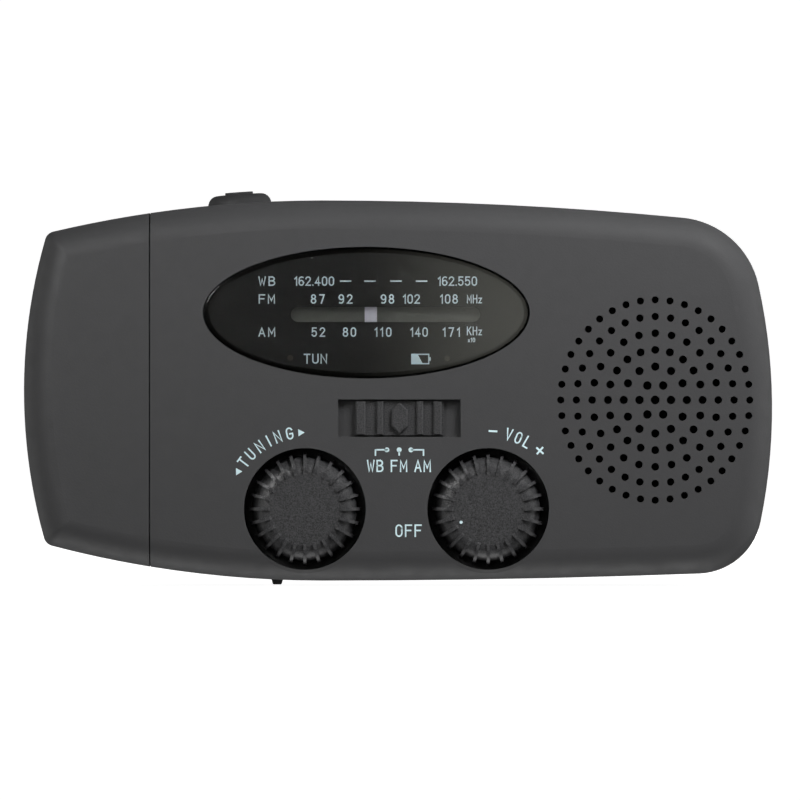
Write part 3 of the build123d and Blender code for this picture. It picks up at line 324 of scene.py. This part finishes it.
# Strokes of each sign, drawn as centre lines in a field one high; the round ones are built of arcs.
ROUND = arc(0.26, 0.70, 0.26, 0.30, 0, 180) + arc(0.26, 0.30, 0.26, 0.30, 180, 360)
SIX = (arc(0.30, 0.66, 0.30, 0.34, 60, 180) + arc(0.26, 0.30, 0.26, 0.30, 180, 360)
       + arc(0.26, 0.30, 0.26, 0.28, 0, 165))
SIGNS = {
    "A": [[(0, 0), (0.28, 1), (0.56, 0)], [(0.10, 0.32), (0.46, 0.32)]],
    "B": [[(0, 0), (0, 1), (0.28, 1)] + arc(0.28, 0.765, 0.22, 0.235, 90, -90) + [(0, 0.53)],
          [(0.28, 0.53)] + arc(0.28, 0.265, 0.26, 0.265, 90, -90) + [(0, 0)]],
    "F": [[(0, 0), (0, 1), (0.52, 1)], [(0, 0.52), (0.44, 0.52)]],
    "G": [arc(0.28, 0.70, 0.28, 0.30, 25, 180) + arc(0.28, 0.30, 0.28, 0.30, 180, 360)
          + [(0.56, 0.46), (0.30, 0.46)]],
    "H": [[(0, 0), (0, 1)], [(0.54, 0), (0.54, 1)], [(0, 0.52), (0.54, 0.52)]],
    "I": [[(0, 0), (0, 1)]],
    "K": [[(0, 0), (0, 1)], [(0.52, 1), (0, 0.40)], [(0.18, 0.61), (0.55, 0)]],
    "L": [[(0, 1), (0, 0), (0.48, 0)]],
    "M": [[(0, 0), (0, 1), (0.29, 0.30), (0.58, 1), (0.58, 0)]],
    "N": [[(0, 0), (0, 1), (0.54, 0), (0.54, 1)]],
    "O": [ROUND + [(0.52, 0.70)]],
    "T": [[(0, 1), (0.54, 1)], [(0.27, 1), (0.27, 0)]],
    "U": [[(0, 1)] + arc(0.26, 0.28, 0.26, 0.28, 180, 360) + [(0.52, 1)]],
    "V": [[(0, 1), (0.28, 0), (0.56, 1)]],
    "W": [[(0, 1), (0.15, 0), (0.31, 0.75), (0.47, 0), (0.62, 1)]],
    "z": [[(0, 0.60), (0.40, 0.60), (0, 0), (0.40, 0)]],
    "x": [[(0, 0.62), (0.42, 0)], [(0, 0), (0.42, 0.62)]],
    "0": [ROUND + [(0.52, 0.70)]],
    "1": [[(0, 0.78), (0.20, 1), (0.20, 0)]],
    "2": [arc(0.26, 0.74, 0.26, 0.26, 170, -35) + [(0, 0), (0.53, 0)]],
    "4": [[(0.38, 0), (0.38, 1), (0, 0.28), (0.54, 0.28)]],
    "5": [[(0.48, 1), (0.06, 1), (0.03, 0.53)] + arc(0.25, 0.32, 0.27, 0.32, 125, -150)],
    "6": [SIX],
    "7": [[(0, 1), (0.52, 1), (0.18, 0)]],
    "8": [arc(0.26, 0.76, 0.22, 0.24, 0, 360), arc(0.26, 0.26, 0.26, 0.26, 0, 360)],
    "9": [[(0.52 - x, 1 - y) for x, y in SIX]],
    ".": [[(0, 0), (0, 0.02)]],
}


STROKE_STEP = 0.003 * MM  # each stroke lies this much above the one before, so that no faces coincide


def stroked(lines, thick):
    """A nearly flat mesh of lines of one thickness, with square ends and mitred corners."""
    drawn = bmesh.new()
    for level, line in enumerate(lines):
        points = [Vector(point) for point in line]
        ways = [(b - a).normalized() for a, b in zip(points, points[1:])]
        points[0] = points[0] - ways[0] * thick / 2
        points[-1] = points[-1] + ways[-1] * thick / 2
        rows = []
        for point, before, after in zip(points, ways[:1] + ways, ways + ways[-1:]):
            across = (before + after).orthogonal().normalized()
            reach = thick / 2 / max(0.5, abs(across.dot(before.orthogonal())))
            rows.append([drawn.verts.new((*(point + across * reach * side), level * STROKE_STEP))
                         for side in (1, -1)])
        for (a, b), (c, d) in zip(rows, rows[1:]):
            drawn.faces.new((a, b, d, c))
    mesh_data = bpy.data.meshes.new("strokes")
    drawn.to_mesh(mesh_data)
    drawn.free()
    return mesh_data


def lettering(text, height, width, thick, squeeze):
    """A flat mesh of the text, centred and spread over the width; a single sign has no width."""
    reach = height - thick
    widths = [reach * squeeze * max(x for line in SIGNS[sign] for x, y in line) for sign in text]
    gap = (width - thick - sum(widths)) / (len(text) - 1) if width else 0.0
    lines, across = [], -(sum(widths) + gap * (len(text) - 1)) / 2
    for sign, sign_width in zip(text, widths):
        for line in SIGNS[sign]:
            lines.append([(across + x * reach * squeeze, (y - 0.5) * reach) for x, y in line])
        across += sign_width + gap
    return stroked(lines, thick)


def rectangle(width, height):
    """A flat rectangle centred in the XY plane."""
    mesh_data = bpy.data.meshes.new("rectangle")
    x, y = width / 2, height / 2
    mesh_data.from_pydata([(-x, -y, 0), (x, -y, 0), (x, y, 0), (-x, y, 0)], [], [(0, 1, 2, 3)])
    return mesh_data


def polygon(points):
    """A flat polygon in the XY plane."""
    mesh_data = bpy.data.meshes.new("polygon")
    mesh_data.from_pydata([(x, y, 0) for x, y in points], [], [tuple(range(len(points)))])
    return mesh_data


def dot(radius, sides=24):
    """A flat round dot in the XY plane."""
    angles = [2 * pi * k / sides for k in range(sides)]
    return polygon([(radius * cos(angle), radius * sin(angle)) for angle in angles])


class Print:
    """Collects flat marks at one depth and joins them into one printed piece."""

    def __init__(self, y):
        self.mesh = bmesh.new()
        self.y = y

    def mark(self, flat, x, z, turn=0.0):
        flat.transform(facing_front(x, self.y, z, turn))
        self.mesh.from_mesh(flat)
        bpy.data.meshes.remove(flat)

    def text(self, text, x, z, height, width=None, thick=0.26 * MM, squeeze=1.0, turn=0.0):
        self.mark(lettering(text, height, width, thick, squeeze), x, z, turn)

    def line(self, x, z, width, height):
        self.mark(rectangle(width, height), x, z)

    def finish(self, name, material, body, thickness):
        """Gives the marks a thickness towards the back and makes them a piece."""
        faces = self.mesh.faces[:]
        grown = bmesh.ops.extrude_face_region(self.mesh, geom=faces)
        moved = [part for part in grown["geom"] if isinstance(part, bmesh.types.BMVert)]
        bmesh.ops.translate(self.mesh, verts=moved, vec=(0, thickness, 0))
        bmesh.ops.recalc_face_normals(self.mesh, faces=self.mesh.faces[:])
        mesh_data = bpy.data.meshes.new(name)
        self.mesh.to_mesh(mesh_data)
        self.mesh.free()
        piece(name, mesh_data, material, body)


def arc_place(centre, radius, angle):
    """X and z of a point on a circle round a knob, and the turn of a letter that stands on it."""
    around = radians(angle)
    return centre.x + radius * cos(around), centre.z + radius * sin(around), radians(angle - 90)


FACE_PRINT_LIFT, DIAL_PRINT_LIFT = 0.015 * MM, 0.012 * MM  # of the print's front over what it is on


def face_print():
    """The marks printed on the front face, round the knobs and under the band switch."""
    marks = Print(face_y - FACE_PRINT_LIFT)
    height = 2.1 * MM
    tuning_ring, arrow_ring = 13.15 * MM, 13.05 * MM
    for letter, angle in zip("TUNING", (142.8, 134.8, 125.8, 118.0, 110.6, 101.4)):
        x, z, turn = arc_place(tuning, tuning_ring, angle)
        marks.text(letter, x, z, height, squeeze=0.92, turn=turn)
    for angle, way in ((151.5, 1), (92.5, -1)):
        x, z, turn = arc_place(tuning, arrow_ring, angle)
        reach, half_wide = 0.55 * MM * way, 0.62 * MM
        marks.mark(polygon([(-reach, 0), (reach, half_wide), (reach, -half_wide)]), x, z, turn)
    volume_ring, sign_ring = 13.2 * MM, 13.3 * MM
    for letter, angle in zip("VOL", (74.5, 67.0, 59.6)):
        x, z, turn = arc_place(volume, volume_ring, angle)
        marks.text(letter, x, z, height, squeeze=0.88, turn=turn)
    sign_pen, minus_width, plus_reach = 0.32 * MM, 1.5 * MM, 0.65 * MM
    x, z, turn = arc_place(volume, sign_ring, 86.5)
    marks.mark(rectangle(minus_width, sign_pen), x, z, turn)
    x, z, turn = arc_place(volume, sign_ring, 48.5)
    plus = [[(-plus_reach, 0), (plus_reach, 0)], [(0, -plus_reach), (0, plus_reach)]]
    marks.mark(stroked(plus, sign_pen), x, z, turn)
    marks.text("OFF", volume.x - 13.6 * MM, volume.z - 3.7 * MM, 2.15 * MM, 4.5 * MM)

    text_z = switch.z - 8.15 * MM
    for word, across in (("WB", -4.15), ("FM", -0.08), ("AM", 3.95)):
        marks.text(word, switch.x + across * MM, text_z, height, 2.85 * MM, squeeze=0.96)
    dot_z, dot_radius = switch.z - 5.4 * MM, 0.42 * MM
    for across in (-2.15, -0.05, 1.95):
        marks.mark(dot(dot_radius), switch.x + across * MM, dot_z)
    pen = 0.27 * MM  # of the lines that lead from the dots to the names of the bands
    for side in (-1, 1):
        marks.line(switch.x + 3.05 * side * MM, dot_z, 2.1 * MM, pen)
        marks.line(switch.x + 4.1 * side * MM, dot_z - 0.45 * MM, pen, 1.15 * MM)
    marks.line(switch.x - 0.05 * MM, dot_z - 0.6 * MM, pen, 0.8 * MM)
    marks.finish("face_print", print_white, "root", 0.012 * MM)


def index_painted_highlight():
    """Painted highlight: a white dot, sunk a little into the volume knob's face, that stands in for the
    glint in the index mark.
    """
    sunk, radius_out, angle, dot_radius = 0.21 * MM, 5.15 * MM, 206, 0.27 * MM
    front = Print(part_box("volume_knob")[0].y + sunk)
    x, z = arc_place(volume, radius_out, angle)[:2]
    front.mark(dot(dot_radius), x, z)
    # the dot is a painted highlight in the white print colour
    front.finish("index_painted_highlight", print_white, "volume", 0.01 * MM)


def dial_print():
    """The scales and signs behind the dial window."""
    marks = Print(mask_y - DIAL_PRINT_LIFT)
    height, pen = 1.62 * MM, 0.22 * MM
    wb_up, fm_up, am_up = 5.4, 2.35, -3.3  # heights of the rows over the window's middle, in mm
    # Each row's words with their places and widths, in mm.
    rows = {wb_up: (("WB", -17.0, 2.9), ("162.400", -8.9, 6.8), ("162.550", 15.55, 6.7)),
            fm_up: (("FM", -17.0, 2.8), ("87", -8.3, 2.4), ("92", -3.56, 2.4), ("98", 3.6, 2.3),
                    ("102", 7.7, 2.9), ("108", 14.1, 3.05)),
            am_up: (("AM", -17.0, 2.9), ("52", -8.2, 2.35), ("80", -2.9, 2.3), ("110", 2.84, 2.9),
                    ("140", 9.0, 3.0), ("171", 14.5, 2.95))}
    for up, words in rows.items():
        for word, across, width in words:
            squeeze = 1.25 if word.isalpha() else 1.0
            marks.text(word, dial.x + across * MM, dial.z + up * MM, height, width * MM, pen, squeeze)
    for across in (-3.55, 0.62, 5.05, 9.42):
        marks.line(dial.x + across * MM, dial.z + wb_up * MM, 1.95 * MM, pen)
    for word, up in (("MHz", fm_up), ("KHz", -3.1)):
        marks.text(word, dial.x + 18.45 * MM, dial.z + up * MM, 1.5 * MM, 2.6 * MM, 0.18 * MM, 0.85)
    marks.text("x10", dial.x + 17.95 * MM, dial.z - 4.65 * MM, 0.78 * MM, 1.25 * MM, 0.13 * MM, 0.9)
    marks.text("TUN", dial.x - 8.7 * MM, dial.z - 7.85 * MM, 1.7 * MM, 4.0 * MM, pen, 1.15)

    battery_x, battery_z, stroke = dial.x + 9.2 * MM, dial.z - 7.9 * MM, 0.20 * MM
    width, tall, lean = 2.9 * MM, 1.6 * MM, 0.15
    for side in (-1, 1):
        marks.line(battery_x, battery_z + side * tall / 2, width + stroke, stroke)
        marks.line(battery_x + side * width / 2, battery_z, stroke, tall)
    marks.line(battery_x + width / 2 + 0.22 * MM, battery_z, 0.25 * MM, 0.6 * MM)
    charge = [(-width / 2, -tall / 2), (lean * width, -tall / 2), (-lean * width, tall / 2),
              (-width / 2, tall / 2)]
    marks.mark(polygon(charge), battery_x, battery_z)
    # the dial print's material glows a little, as painted light
    marks.finish("dial_print", print_dial_painted_glow, "root", 0.008 * MM)


face_print()
index_painted_highlight()
dial_print()


# ---------------------------------------------------------------- floor, light and camera
def sweep():
    """A pale round floor, in metres, that curves up into a wall all the way round.

    Only the camera sees it: it is hidden from reflected, refracted and shadow rays.
    """
    flat, bend, top, turns = 3.8, 1.2, 5.0, 72
    bend_angles = [radians(10 * k) for k in range(10)]
    profile = [(flat + bend * sin(angle), bend * (1 - cos(angle))) for angle in bend_angles]
    profile.append((flat + bend, top))
    points = [(out * cos(2 * pi * k / turns), out * sin(2 * pi * k / turns), up)
              for out, up in profile for k in range(turns)]
    faces = [tuple(range(turns))]
    for level in range(len(profile) - 1):
        low, high = level * turns, (level + 1) * turns
        faces += [(low + (k + 1) % turns, low + k, high + k, high + (k + 1) % turns)
                  for k in range(turns)]
    mesh_data = bpy.data.meshes.new("floor")
    mesh_data.from_pydata(points, [], faces)
    mesh_data.shade_smooth()
    mesh_data.materials.append(Shader("pale floor", (0.50, 0.50, 0.50), 0.9, Specular_IOR_Level=0.0,
                                      Emission_Color=(1, 1, 1, 1), Emission_Strength=0.95).material)
    floor = bpy.data.objects.new("floor", mesh_data)
    bpy.context.scene.collection.objects.link(floor)
    floor.visible_glossy = False
    floor.visible_diffuse = False
    floor.visible_shadow = False
    floor.visible_transmission = False


def room():
    """World light: bright at both sides and straight below, faint behind and above, dark in front."""
    world = bpy.data.worlds.new("studio")
    world.use_nodes = True
    tree = world.node_tree
    place = tree.nodes.new("ShaderNodeTexCoord")
    split = tree.nodes.new("ShaderNodeSeparateXYZ")
    tree.links.new(place.outputs["Generated"], split.inputs["Vector"])

    def step(socket, start, end, high):
        """Light that rises from none at start to high at end, along one part of the direction."""
        ramp = tree.nodes.new("ShaderNodeMapRange")
        ramp.interpolation_type = "SMOOTHSTEP"
        for name, value in (("From Min", start), ("From Max", end), ("To Min", 0.0), ("To Max", high)):
            ramp.inputs[name].default_value = value
        tree.links.new(socket, ramp.inputs["Value"])
        return ramp.outputs["Result"]

    both_sides = tree.nodes.new("ShaderNodeMath")
    both_sides.operation = "ABSOLUTE"
    tree.links.new(split.outputs["X"], both_sides.inputs[0])
    everywhere = 0.004
    glow = None
    for part in (step(both_sides.outputs["Value"], 0.55, 0.92, 0.8),  # sides
                 step(split.outputs["Y"], 0.2, 0.9, 0.10),  # behind
                 step(split.outputs["Z"], 0.1, 0.8, 0.02),  # above
                 step(split.outputs["Z"], -0.80, -1.0, 2.6)):  # below
        total = tree.nodes.new("ShaderNodeMath")
        total.operation = "ADD"
        tree.links.new(part, total.inputs[0])
        if glow:
            tree.links.new(glow, total.inputs[1])
        else:
            total.inputs[1].default_value = everywhere
        glow = total.outputs["Value"]
    background = tree.nodes["Background"]
    background.inputs["Color"].default_value = (1, 1, 1, 1)
    tree.links.new(glow, background.inputs["Strength"])
    bpy.context.scene.world = world


CAMERA_DISTANCE = 1.9  # metres in front of the face; the card stands behind the camera
CARD_DISTANCE = 2.0


def reflector_card():
    """A card hidden from the camera, brighter to its right, that the dial window reflects."""
    shader = Shader("card", (0, 0, 0), 1.0)
    left, right, dim, bright = -0.02, 0.05, 0.05, 0.92
    x = shader.axes(shader.place)[0]
    light = shader.ramp(x, left, right, dim, bright, interpolation_type="SMOOTHSTEP")
    shader.principled.inputs["Emission Color"].default_value = (1.0, 1.0, 0.88, 1)
    shader.link(light, shader.principled, "Emission Strength")
    mesh_data = bpy.data.meshes.new("card")
    y, half_width, bottom, top = face_y - CARD_DISTANCE, 0.15, -0.05, 0.20
    corners = [(-half_width, y, bottom), (half_width, y, bottom),
               (half_width, y, top), (-half_width, y, top)]
    mesh_data.from_pydata(corners, [], [(0, 1, 2, 3)])
    mesh_data.materials.append(shader.material)
    card = bpy.data.objects.new("card", mesh_data)
    bpy.context.scene.collection.objects.link(card)
    card.visible_camera = False


def lamps():
    """Soft lamps: a key from the upper right, a fill and a glint from the left, and one behind."""
    target = middle("front_shell")
    for name, place, size, watts, shows_in_gloss, lights_matt in (
            ("key", (0.115, -0.165, 0.20), 0.12, 0.88, False, True),
            ("fill", (-0.20, -0.60, 0.20), 0.30, 0.22, True, True),
            ("glint", (-0.15, -0.22, 0.13), 0.06, 0.24, True, False),
            ("back", (0.30, 0.75, 0.14), 0.35, 3.5, False, True)):
        data = bpy.data.lights.new(name, "AREA")
        data.size = size
        data.energy = watts
        lamp = bpy.data.objects.new(name, data)
        lamp.location = place
        lamp.rotation_euler = (target - Vector(place)).to_track_quat("-Z", "Y").to_euler()
        lamp.visible_glossy = shows_in_gloss
        lamp.visible_diffuse = lights_matt
        bpy.context.scene.collection.objects.link(lamp)


def camera():
    """A long lens straight at the front, that takes in a given width at the front face."""
    frame_width, aim_x, aim_z = 136.5 * MM, 0.34 * MM, 31.9 * MM
    data = bpy.data.cameras.new("camera")
    data.sensor_width = 36
    data.lens = data.sensor_width * CAMERA_DISTANCE / frame_width
    view = bpy.data.objects.new("camera", data)
    view.location = (aim_x, face_y - CAMERA_DISTANCE, aim_z)
    view.rotation_euler = (pi / 2, 0, 0)
    bpy.context.scene.collection.objects.link(view)
    bpy.context.scene.camera = view


sweep()
room()
reflector_card()
lamps()
camera()
bpy.context.scene.view_settings.view_transform = "Standard"
